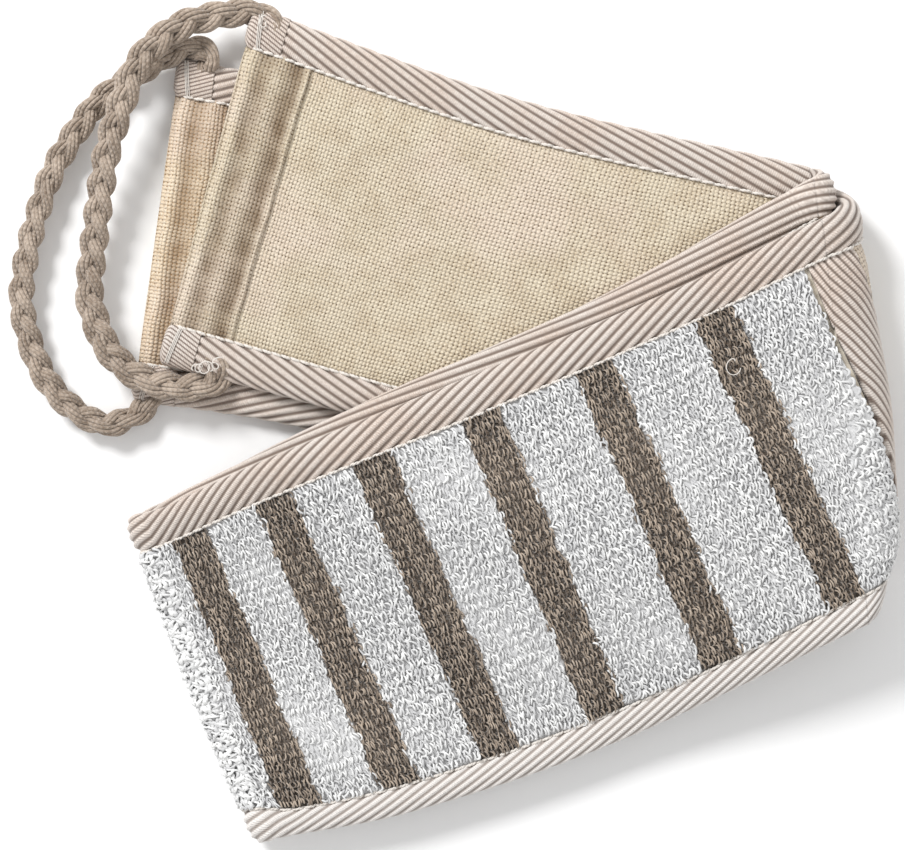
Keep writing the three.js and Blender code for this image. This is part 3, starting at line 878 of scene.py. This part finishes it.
def binding(name, edge, start, end, along_step=0.6, cuff=False, painted_highlight=0.0):
    """Tape folded over the strap's edge: a soft roll whose ribs wrap round it, closed on its inner side."""
    inset, height, out_inset, out_height, girth = roll_profile(edge)
    inner_inset = np.linspace(EDGE, 1.6, CORE_STEPS)
    still = np.zeros(2 * CORE_STEPS)
    inset = np.concatenate([inset, inner_inset, inner_inset[::-1]])
    height = np.concatenate([height, np.full(CORE_STEPS, 1.0), np.full(CORE_STEPS, -1.0)])
    out_inset = np.concatenate([out_inset, still])
    out_height = np.concatenate([out_height, still])
    girth = np.concatenate([girth, still])
    v = inset * 100 / WIDTH
    v = v if edge == "top" else 100 - v
    rows = max(4, int(np.max(np.abs(end(v) - start(v))) / along_step))
    t = np.linspace(0, 1, rows)[:, None]
    chain = start(v) + (end(v) - start(v)) * t
    g = np.broadcast_to(girth, chain.shape)
    count = rib_count(chain, g) * (CUFF_RIBS if cuff else 1.0)
    lift = RIB_HEIGHT * (rib_crest(count) - RIB_MIDDLE)
    outer = np.abs(np.arange(chain.shape[1]) - (ROLL_STEPS - 1) / 2) < ROLL_STEPS / 2 - 1
    lift = np.where(outer, lift, 0)
    shrink = np.ones_like(t)
    if cuff:
        lift = lift * 0.4 + CUFF_LIFT * outer
        rounding = np.clip((t - CUFF_ROUNDING) / CUFF_ROUNDED, 0, 1)
        shrink = np.sqrt(np.clip(1 - rounding**2, 0.12, 1))
    way = 1 if edge == "top" else -1
    middle = v.mean()
    across = v + lift * out_inset * 100 / WIDTH * way
    across = middle + (across - middle) * (0.35 + 0.65 * shrink)
    level = (height + lift * out_height) * shrink
    points = strap_points(chain, across, level)
    label = np.stack([count, rib_along(chain, g), np.full_like(count, painted_highlight)], -1)
    faces = outward(points, ring_faces(*chain.shape))
    return mesh_object(name, points, faces, TAPE, {"rib": label})


def cross_count(chain, y):
    return (chain - y * CROSS_RIB_LEAN) / CROSS_RIB_PITCH


def cross_tape(name, start, end):
    def relief(chain, y):
        return CROSS_RIB_HEIGHT * (rib_crest(cross_count(chain, y)) - RIB_MIDDLE)

    piece = sheet(name, start, end, covered(start, end), 1, TAPE, (0.32, 0.8), relief, 2.6)
    chain, y = strap_places(piece)
    add_attribute(piece.data, "rib", np.stack([cross_count(chain, y), y, np.zeros_like(y)], -1))
    return piece


def build_tapes():
    upper_cuff, lower_cuff = INNER.at(INNER.length - CUFF), OUTER.at(OUTER.length - CUFF)
    lengths = [
        ("middle", INNER.fold_start, OUTER.fold_start, "strap_middle"),
        ("inner_fold", INNER.fold_start, INNER.fold_end, "inner_fold"),
        ("outer_fold", OUTER.fold_start, OUTER.fold_end, "outer_fold"),
        ("upper_end", INNER.fold_end, upper_cuff, "strap_ends"),
        ("lower_end", OUTER.fold_end, lower_cuff, "strap_ends"),
    ]
    cuffs = [
        ("upper_end", upper_cuff, INNER.at(INNER.length + 1.5)),
        ("lower_end", lower_cuff, OUTER.at(OUTER.length + 1.5)),
    ]
    for edge in ("top", "bottom"):
        for name, start, end, zone in lengths:
            # painted highlight: the bottom tapes of the middle and the outer fold are painted lighter, for
            # the strong light on them
            painted_highlight = 0.85 if edge == "bottom" and zone in ("strap_middle", "outer_fold") else 0.0
            piece = binding(f"{name}_tape_{edge}", edge, start, end, painted_highlight=painted_highlight)
            place(piece, zone, "twill_tape", f"{name}_binding_{edge}")
        for name, start, end in cuffs:
            piece = binding(f"{name}_cuff_{edge}", edge, start, end, 0.3, cuff=True)
            place(piece, "strap_ends", "twill_tape", f"{name}_{edge}_corner_wrap")
    seam, tape_end = OUTER.at(OUTER.seam + 1.3), OUTER.at(OUTER.seam + CROSS_TAPE)
    inner_seam, inner_end = INNER.at(INNER.seam), INNER.at(INNER.seam + CROSS_TAPE)
    pieces = [
        ("inner_cross_band", inner_seam, inner_end, "strap_middle", ["inner_cross_tape"]),
        ("outer_cross_band", sooner(seam, OUTER.fold_start, 1), sooner(tape_end, OUTER.fold_start, 1),
         "strap_middle", ["outer_cross_tape"]),
        ("outer_fold_cross_band", later(seam, OUTER.fold_start, 1), later(tape_end, OUTER.fold_start, 1),
         "outer_fold", []),
    ]
    for name, start, end, zone, nodes in pieces:
        place(cross_tape(name, start, end), zone, "twill_tape", *nodes)


build_tapes()


# ---------------- threads
def tube_object(name, points, radius, material, sides=6, attributes=None):
    """A closed tube round each path. points has shape (paths, steps, 3), or (steps, 3) for a single path."""
    points = np.asarray(points, float)
    if points.ndim == 2:
        points = points[None]
    paths, steps = points.shape[:2]
    tangent = np.gradient(points, axis=1)
    tangent /= np.linalg.norm(tangent, axis=-1, keepdims=True) + 1e-12
    side = np.cross(tangent, np.array([0.13, 0.21, 0.97]))
    side /= np.linalg.norm(side, axis=-1, keepdims=True) + 1e-12
    up = np.cross(side, tangent)
    ring = np.arange(sides) * 2 * math.pi / sides
    cos, sin = np.cos(ring)[None, None, :, None], np.sin(ring)[None, None, :, None]
    skin = points[:, :, None] + (side[:, :, None] * cos + up[:, :, None] * sin) * radius
    # the first tube shows which way round the faces of all of them go
    groups = outward(skin[:1], ring_faces(steps, sides))
    jump = (np.arange(paths) * steps * sides)[:, None, None]
    faces = [(group[None] + jump).reshape(-1, group.shape[1]) for group in groups]
    return mesh_object(name, skin, faces, material, attributes)


STITCH = 3.3
STITCH_THREAD = 0.31
STITCH_DIP = 0.9
PLY_REACH = 0.2
PLY_TURNS = 1.5
TACK_THREAD = 0.14


def stitch_row(name, edge, side, start, end, height, zone, nodes):
    """Lock stitches along a binding: short bars of twisted thread that dip into the cloth."""
    inset = (EDGE + 0.1) * 100 / WIDTH
    v = inset if edge == "top" else 100 - inset
    c0, c1 = float(start(np.array([v]))[0]), float(end(np.array([v]))[0])
    count = max(2, int(abs(c1 - c0) / STITCH))
    first = c0 + (c1 - c0) * (np.arange(count) + 0.04)[:, None] / count
    step = (c1 - c0) / count
    t = np.linspace(0, 1, 9)[None]
    chain = first + step * t
    rise = np.sin(math.pi * t) ** 0.5
    across = v + 0.25 * (t - 0.5) * (1 if edge == "top" else -1)
    strands = []
    for turn in (0, math.pi):
        swing = PLY_REACH * np.cos(2 * math.pi * t * PLY_TURNS + turn)
        heave = PLY_REACH * np.sin(2 * math.pi * t * PLY_TURNS + turn)
        strands.append(strap_points(chain, across + swing, side * (height - STITCH_DIP + rise + heave)))
    piece = tube_object(name, np.concatenate(strands), STITCH_THREAD, THREAD, 5)
    return place(piece, zone, "thread", *nodes)


def build_stitches():
    upper_stop, lower_stop = INNER.at(INNER.length - 2), OUTER.at(OUTER.length - 2)
    rows = [
        ("middle_face", 1, INNER.fold_start, OUTER.fold_start, 2.1, "strap_middle", "middle_face_seam"),
        ("middle_back", -1, INNER.fold_start, OUTER.fold_start, 2.1, "strap_middle", "middle_back_seam"),
        ("outer_fold", 1, OUTER.fold_start, OUTER.fold_end, 2.1, "outer_fold", None),
        ("upper_end", 1, INNER.fold_end, upper_stop, 2.2, "strap_ends", "upper_end_seam"),
        ("lower_end", -1, OUTER.fold_end, lower_stop, 2.2, "strap_ends", "lower_end_seam"),
        ("lower_end_under", 1, OUTER.fold_end, lower_stop, 2.1, "strap_ends", None),
    ]
    for edge in ("top", "bottom"):
        for name, side, start, end, height, zone, seam in rows:
            nodes = [f"{seam}_{edge}"] if seam else []
            stitch_row(f"{name}_stitches_{edge}", edge, side, start, end, height, zone, nodes)


build_stitches()


# ---------------- rope handles
def spline(points, count):
    """A smooth path through the points, evenly spaced."""
    p = np.array(points, float)
    p = np.concatenate([[2 * p[0] - p[1]], p, [2 * p[-1] - p[-2]]])
    fine = []
    for i in range(1, len(p) - 2):
        t = np.linspace(0, 1, 40, endpoint=False)[:, None]
        a, b, c, d = p[i - 1], p[i], p[i + 1], p[i + 2]
        bend = (2 * a - 5 * b + 4 * c - d) * t**2 + (3 * b - a - 3 * c + d) * t**3
        fine.append(0.5 * (2 * b + (c - a) * t + bend))
    fine = np.concatenate(fine + [p[-2][None]])
    length = np.concatenate([[0], np.cumsum(np.linalg.norm(np.diff(fine, axis=0), axis=1))])
    want = np.linspace(0, length[-1], count)
    return np.stack([np.interp(want, length, fine[:, k]) for k in range(3)], -1), length[-1]


PLAIT = 24.0
STRANDS = 3
STRAND_SWING = 1.95
STRAND_HEAVE = 1.1
STRAND_HALF_WIDTH = 1.5
STRAND_HALF_HEIGHT = 1.3
YARNS = 8
YARN_RADIUS = 0.64
YARN_SIDES = 7
YARN_TWIST = 30.0
ROPE_STEPS = 300
LEAN_TURNS = 1.3


def swinging(piece):
    """Bakes the rope's transform into its mesh; the rope stays as it was built."""
    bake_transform(piece)


def rope(name, points, node, roll, girth):
    """Strands plaited together, each of several twisted yarns."""
    centre, length = spline(points, ROPE_STEPS)
    centre[:, :2] -= ORIGIN
    s = np.linspace(0, length, len(centre))
    tangent = np.gradient(centre, axis=0)
    tangent /= np.linalg.norm(tangent, axis=1, keepdims=True)
    side = np.cross(tangent, (0, 0, 1.0))
    side /= np.linalg.norm(side, axis=1, keepdims=True)
    up = np.cross(side, tangent)
    lean = roll * np.sin(s / length * 2 * math.pi * LEAN_TURNS + 0.6)
    side, up = (
        side * np.cos(lean)[:, None] + up * np.sin(lean)[:, None],
        up * np.cos(lean)[:, None] - side * np.sin(lean)[:, None],
    )
    yarns, labels = [], []
    for strand in range(STRANDS):
        phase = 2 * math.pi * (s / PLAIT + strand / STRANDS)
        middle = centre + side * (STRAND_SWING * girth * np.sin(phase))[:, None]
        middle = middle + up * (STRAND_HEAVE * girth * np.sin(2 * phase))[:, None]
        for k in range(YARNS):
            twist = 2 * math.pi * (k / YARNS + s / YARN_TWIST + strand * 0.2)
            wide = STRAND_HALF_WIDTH * girth * np.cos(twist)
            tall = STRAND_HALF_HEIGHT * girth * np.sin(twist)
            yarns.append(middle + side * wide[:, None] + up * tall[:, None])
            labels.append((strand * YARNS + k) * 0.61 % 1)
    yarns = np.array(yarns)
    label = np.zeros(yarns.shape[:2] + (YARN_SIDES, 3))
    label[..., 0] = s[None, :, None]
    label[..., 1] = (np.arange(YARN_SIDES) / YARN_SIDES)[None, None]
    label[..., 2] = np.array(labels)[:, None, None]
    piece = tube_object(name, yarns, YARN_RADIUS * girth, ROPE, YARN_SIDES, {"yarn": label})
    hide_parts(node)
    swinging(piece)


rope("upper_handle_rope", [
    (-52.5, 108.5, 8.4),
    (-51.0, 112.2, 8.6),
    (-54.0, 115.6, 8.9),
    (-58.5, 116.6, 9.2),
    (-65.5, 115.8, 9.8),
    (-75.4, 113, 11.5),
    (-83.2, 107.6, 13),
    (-88.9, 100.6, 13.3),
    (-92.4, 92.1, 13.1),
    (-95.4, 83.4, 12.4),
    (-98.2, 73, 10.6),
    (-101.5, 52.4, 7.2),
    (-103, 37.5, 6.4),
    (-101, 29.1, 7.4),
    (-97.4, 21.4, 8.8),
    (-90.6, 14.8, 9.6),
    (-82.7, 11.5, 9.4),
    (-73.5, 10.7, 9.2),
    (-67.6, 12.0, 8.8),
    (-65.6, 15.8, 8.6),
    (-68.4, 20.0, 8.8),
], "upper_rope_handle", 0.35, 1.04)
rope("lower_handle_rope", [
    (-69.8, 100.5, 3.6),
    (-69.2, 104.2, 4.8),
    (-72.6, 107.2, 5.0),
    (-80.7, 105.2, 4.6),
    (-96.2, 95.6, 4.2),
    (-102.6, 89.6, 4.2),
    (-109.4, 80, 4.2),
    (-114.7, 70.1, 4.2),
    (-120.3, 52.4, 4.2),
    (-122.7, 36.8, 4.2),
    (-121.3, 27.6, 4.2),
    (-118.2, 18, 4.2),
    (-113.4, 9.9, 4.2),
    (-106.6, 3.7, 4.2),
    (-98.7, 0.2, 4.2),
    (-91.1, 2.5, 3.6),
    (-86.4, 6.4, 3.0),
    (-84.4, 11.0, 3.2),
], "lower_rope_handle", 0.5, 0.95)


# ---------------- corners and loose threads
TAIL_CENTRE = 5.4
TAIL_RADIUS = 0.55
TAIL_SPACING = 1.1
TACK_HALF = 5.2


def end_chain(half, inset):
    return half.sign * (half.length + MIDDLE_ARC - inset)


def build_corners():
    """Inside each cuff, the rope's flattened tail; outside it, the tack that holds them together."""
    rng = np.random.default_rng(23)
    for half, name, side in ((INNER, "upper_end", 1), (OUTER, "lower_end", -1)):
        for edge in ("top", "bottom"):
            centre, way = (TAIL_CENTRE, 1) if edge == "top" else (100 - TAIL_CENTRE, -1)
            t = np.linspace(0, 1, 12)
            tails = []
            for k in (-2, -1, 0, 1, 2):
                across = centre + k * TAIL_SPACING + 0.2 * np.sin(9 * t + k)
                tails.append(strap_points(end_chain(half, 1.5 + 8 * t), across, np.zeros_like(t)))
            label = np.zeros((5, 12, 6, 3))
            tail = tube_object(f"{name}_{edge}_rope_end", tails, TAIL_RADIUS, ROPE, 6, {"yarn": label})
            place(tail, "strap_ends", "rope", f"{name}_{edge}_rope_tail")
            threads = []
            for inset, slant in ((2.0, 0.9), (2.5, 0.8), (3.0, 0.9)):
                t = np.linspace(-1, 1, 24)
                across = centre + way * TACK_HALF * t
                height = 1.4 + 2.35 * np.cos(t * 1.25) ** 0.7 + rng.normal(0, 0.04, len(t))
                threads.append(strap_points(end_chain(half, inset + slant * t), across, side * height))
            tack = tube_object(f"{name}_{edge}_tack", threads, TACK_THREAD, THREAD, 6)
            place(tack, "strap_ends", "thread", f"{name}_{edge}_bar_tack")


def loose_thread(name, zone, chain, across, height, spread, turns, side, seed, radius=0.15):
    """A curl of cut thread lying on the strap."""
    rng = np.random.default_rng(seed)
    t = np.linspace(0, 1, 14 * turns)
    angle = 2 * math.pi * turns * t + rng.uniform(0, 6)
    swell = 1 + 0.35 * np.sin(angle * 0.37 + rng.uniform(0, 6))
    x = chain + spread * (swell * np.cos(angle) + 1.6 * (t - 0.5) * (turns - 1))
    y = across + spread * (swell * np.sin(angle) * 0.85 + 0.7 * np.sin(3 * t + 1)) * 100 / WIDTH
    h = height + 0.35 * spread * np.sin(angle * 0.5 + rng.uniform(0, 6))
    piece = tube_object(name, strap_points(x, y, side * h), radius, THREAD, 6)
    place(piece, zone, "thread")


def build_loose_threads():
    loose_thread("thread_ring", "strap_middle", 174, 24, 4.0, 1.6, 1, 1, 3)
    loose_thread("corner_curl", "strap_ends", end_chain(INNER, 16.5), 97.0, 3.9, 1.7, 3, 1, 5, 0.17)
    loose_thread("corner_curl_small", "strap_ends", end_chain(INNER, 12.5), 98.4, 3.5, 1.1, 2, 1, 8)
    loose_thread("top_corner_curl", "strap_ends", end_chain(INNER, 3.0), 3.0, 4.0, 1.5, 1, 1, 9)


build_corners()
build_loose_threads()


# ---------------- floor, light and camera
FLOOR_LEVEL = -1.2
FLOOR_SIZE = 8000
SKY_STRENGTH = 0.62
VIEW_WIDTH = 254.93


def build_studio():
    floor_net = Net("studio_floor")
    floor_net.finish(rgb(250, 250, 250), 0.9, sheen=0.0)
    bpy.ops.mesh.primitive_plane_add(size=FLOOR_SIZE * MM, location=(0, 0, FLOOR_LEVEL * MM))
    floor = bpy.context.object
    floor.name = "floor"
    floor.data.materials.append(floor_net.material)
    world = bpy.data.worlds.new("studio")
    bpy.context.scene.world = world
    world.use_nodes = True
    world.node_tree.nodes["Background"].inputs[0].default_value = (1, 1, 1, 1)
    world.node_tree.nodes["Background"].inputs[1].default_value = SKY_STRENGTH

    def area(name, location, size, power):
        """A round lamp that faces the object. Its place and size are in metres, and its power in watts."""
        light = bpy.data.lights.new(name, "AREA")
        light.shape, light.size, light.energy = "DISK", size, power
        lamp = bpy.data.objects.new(name, light)
        lamp.location = location
        lamp.rotation_euler = (-Vector(location)).to_track_quat("-Z", "Y").to_euler()
        bpy.context.scene.collection.objects.link(lamp)

    area("key", (-0.7, 0.75, 0.95), 0.45, 17)
    area("fill", (0.9, -0.5, 1.2), 1.0, 3)
    camera = bpy.data.cameras.new("camera")
    camera.lens = 100
    distance = camera.lens / camera.sensor_width * VIEW_WIDTH * MM
    eye = bpy.data.objects.new("camera", camera)
    eye.location = (-ORIGIN[0] * MM, -ORIGIN[1] * MM, distance + FOLD_HEIGHT * MM)
    bpy.context.scene.collection.objects.link(eye)
    bpy.context.scene.camera = eye
    bpy.context.scene.view_settings.view_transform = "Standard"


build_studio()
